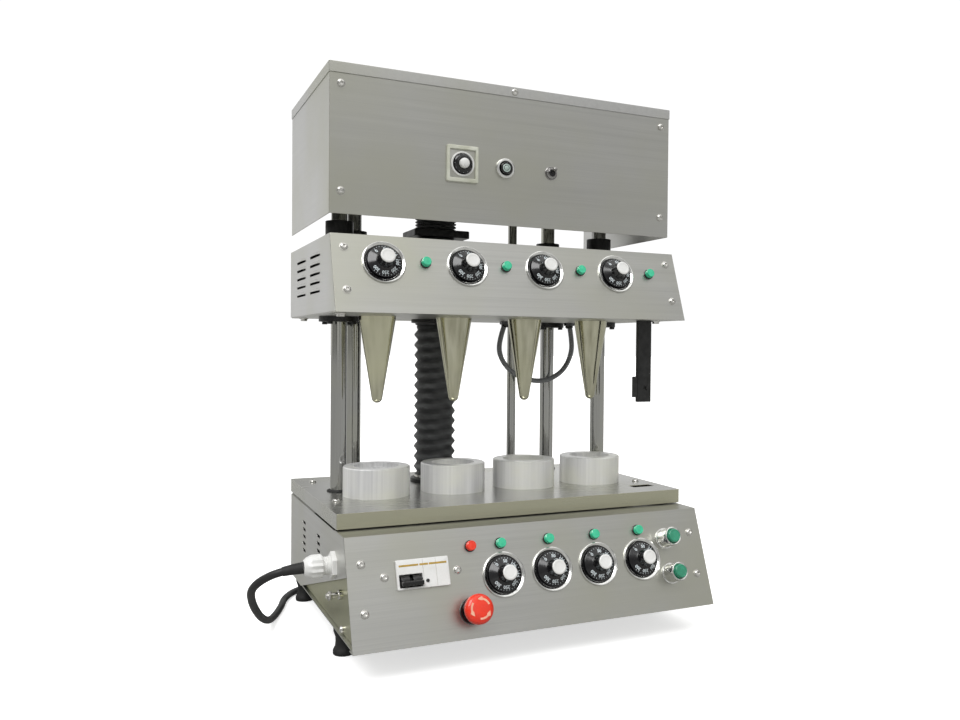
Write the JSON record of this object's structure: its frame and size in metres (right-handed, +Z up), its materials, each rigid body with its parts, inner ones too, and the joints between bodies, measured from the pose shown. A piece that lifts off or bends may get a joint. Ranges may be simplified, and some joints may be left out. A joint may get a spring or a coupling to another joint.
{
  "type": "cone moulding press",
  "caption": "Bench press that forms and bakes dough cones: heated conical plungers on a screw-driven head move down into heated ring moulds on a deck above a control panel.",
  "frame": {"origin": "on the bench under the centre of the machine's box, without the mains cord", "axes": "+X to the machine's right, the front with its dials faces -Y, +Z up"},
  "size_m": [0.6669, 0.6342, 0.8278],
  "materials": {
    "stainless": "brushed stainless sheet",
    "stainless_bright": "bright brushed stainless sheet",
    "aluminium": "turned aluminium",
    "polished": "polished",
    "chrome": "hard chrome",
    "black_steel": "black oxide",
    "black_plastic": "moulded",
    "black_rubber": "moulded rubber",
    "bellows_cloth": "coated cloth",
    "white_plastic": "moulded",
    "green_plastic": "moulded",
    "red_plastic": "moulded",
    "grey_cable": "braided",
    "black_cord": "rubber sheath",
    "motor_paint": "enamel"
  },
  "bodies": {
    "root": {"base_floor": "stainless", "base_shell": "stainless_bright", "breaker": "white_plastic", "column_plate": "stainless", "conduit_tube": "chrome", "control_panel": "stainless", "cord_coil": "black_cord", "cord_gland": "white_plastic", "deck": "stainless_bright", "drive_belt": "black_rubber", "drive_motor": "motor_paint", "feet": "black_rubber", "gland_plate": "stainless", "guide_columns": "chrome", "lid": "stainless_bright", "mains_cord": "black_cord", "mains_plug": "black_cord", "mould_cup_1": "aluminium", "mould_cup_2": "aluminium", "mould_cup_3": "aluminium", "mould_cup_4": "aluminium", "mould_heater_bands": "stainless", "panel_bezels_and_lamps": "chrome", "screw_bearings": "black_steel", "upper_control_mounts": "chrome", "upper_floor": "stainless", "upper_front_panel": "stainless", "upper_shell": "stainless_bright"},
    "head": {"head_plate": "stainless", "head_cover": "stainless_bright", "head_front_panel": "stainless", "screw_nut": "black_steel", "guide_bearings": "black_steel", "trip_bar": "black_steel", "lower_bellows": "bellows_cloth", "upper_bellows": "bellows_cloth", "cable_loop": "grey_cable", "head_bezels_and_lamps": "chrome", "forming_cone_1": "polished", "forming_cone_2": "polished", "forming_cone_3": "polished", "forming_cone_4": "polished"},
    "screw": {"lead_screw": "chrome", "screw_pulley": "black_steel"},
    "motor_rotor": {"motor_pulley": "black_steel"},
    "head_knob_1": {"head_knob_1": "black_plastic"},
    "mould_knob_1": {"mould_knob_1": "black_plastic"},
    "head_knob_2": {"head_knob_2": "black_plastic"},
    "mould_knob_2": {"mould_knob_2": "black_plastic"},
    "head_knob_3": {"head_knob_3": "black_plastic"},
    "mould_knob_3": {"mould_knob_3": "black_plastic"},
    "head_knob_4": {"head_knob_4": "black_plastic"},
    "mould_knob_4": {"mould_knob_4": "black_plastic"},
    "timer_knob": {"timer_knob": "white_plastic"},
    "power_button": {"power_button": "white_plastic"},
    "toggle_lever": {"toggle_lever": "chrome"},
    "start_button_upper": {"start_button_upper": "green_plastic"},
    "start_button_lower": {"start_button_lower": "green_plastic"},
    "estop_button": {"estop_button": "red_plastic"},
    "breaker_toggle": {"breaker_toggle": "black_plastic"}
  },
  "joints": [
    {"name": "head_slide", "type": "slide", "parent": "root", "child": "head", "axis": [0, 0, -1], "range_m": [0, 0.205], "deforming": ["lower_bellows", "upper_bellows", "cable_loop"]},
    {"name": "screw_spin", "type": "hinge", "parent": "root", "child": "screw", "pos_m": [-0.056, 0.13115, 0.205], "axis": [0, 0, 1], "range_deg": [0, 3700]},
    {"name": "motor_spin", "type": "hinge", "parent": "root", "child": "motor_rotor", "pos_m": [0.076, 0.10115, 0.205], "axis": [0, 0, 1], "range_deg": [0, 7400]},
    {"name": "head_knob_1_turn", "type": "hinge", "parent": "head", "child": "head_knob_1", "pos_m": [-0.2088, -0.09433, 0.54955], "axis": [0, 0.9415, -0.3371], "range_deg": [0, 290]},
    {"name": "head_knob_2_turn", "type": "hinge", "parent": "head", "child": "head_knob_2", "pos_m": [-0.0838, -0.09433, 0.54955], "axis": [0, 0.9415, -0.3371], "range_deg": [0, 290]},
    {"name": "head_knob_3_turn", "type": "hinge", "parent": "head", "child": "head_knob_3", "pos_m": [0.0412, -0.09433, 0.54955], "axis": [0, 0.9415, -0.3371], "range_deg": [0, 290]},
    {"name": "head_knob_4_turn", "type": "hinge", "parent": "head", "child": "head_knob_4", "pos_m": [0.1662, -0.09433, 0.54955], "axis": [0, 0.9415, -0.3371], "range_deg": [0, 290]},
    {"name": "mould_knob_1_turn", "type": "hinge", "parent": "root", "child": "mould_knob_1", "pos_m": [-0.06, -0.18151, 0.11693], "axis": [0, 0.9358, -0.3525], "range_deg": [0, 290]},
    {"name": "mould_knob_2_turn", "type": "hinge", "parent": "root", "child": "mould_knob_2", "pos_m": [0.015, -0.18151, 0.11693], "axis": [0, 0.9358, -0.3525], "range_deg": [0, 290]},
    {"name": "mould_knob_3_turn", "type": "hinge", "parent": "root", "child": "mould_knob_3", "pos_m": [0.09, -0.18151, 0.11693], "axis": [0, 0.9358, -0.3525], "range_deg": [0, 290]},
    {"name": "mould_knob_4_turn", "type": "hinge", "parent": "root", "child": "mould_knob_4", "pos_m": [0.165, -0.18151, 0.11693], "axis": [0, 0.9358, -0.3525], "range_deg": [0, 290]},
    {"name": "timer_turn", "type": "hinge", "parent": "root", "child": "timer_knob", "pos_m": [-0.084, -0.06885, 0.703], "axis": [0, 1, 0], "range_deg": [0, 270]},
    {"name": "power_press", "type": "slide", "parent": "root", "child": "power_button", "axis": [0, 1, 0], "range_m": [0, 0.003], "stiffness_N_per_m": 300},
    {"name": "toggle_tilt", "type": "hinge", "parent": "root", "child": "toggle_lever", "pos_m": [0.063, -0.06785, 0.703], "axis": [1, 0, 0], "range_deg": [0, 28]},
    {"name": "start_upper_press", "type": "slide", "parent": "root", "child": "start_button_upper", "axis": [0, 0.9358, -0.3525], "range_m": [0, 0.0045], "stiffness_N_per_m": 400},
    {"name": "start_lower_press", "type": "slide", "parent": "root", "child": "start_button_lower", "axis": [0, 0.9358, -0.3525], "range_m": [0, 0.0045], "stiffness_N_per_m": 400},
    {"name": "estop_press", "type": "slide", "parent": "root", "child": "estop_button", "axis": [0, 0.9358, -0.3525], "range_m": [0, 0.005]},
    {"name": "breaker_switch", "type": "hinge", "parent": "root", "child": "breaker_toggle", "pos_m": [-0.194, -0.18068, 0.12196], "axis": [-1, 0, 0], "range_deg": [0, 40]}
  ],
  "couplings": [
    {"joint": "screw_spin", "follows": "head_slide", "rad_per_m": 314.16},
    {"joint": "motor_spin", "follows": "head_slide", "rad_per_m": 628.32}
  ]
}
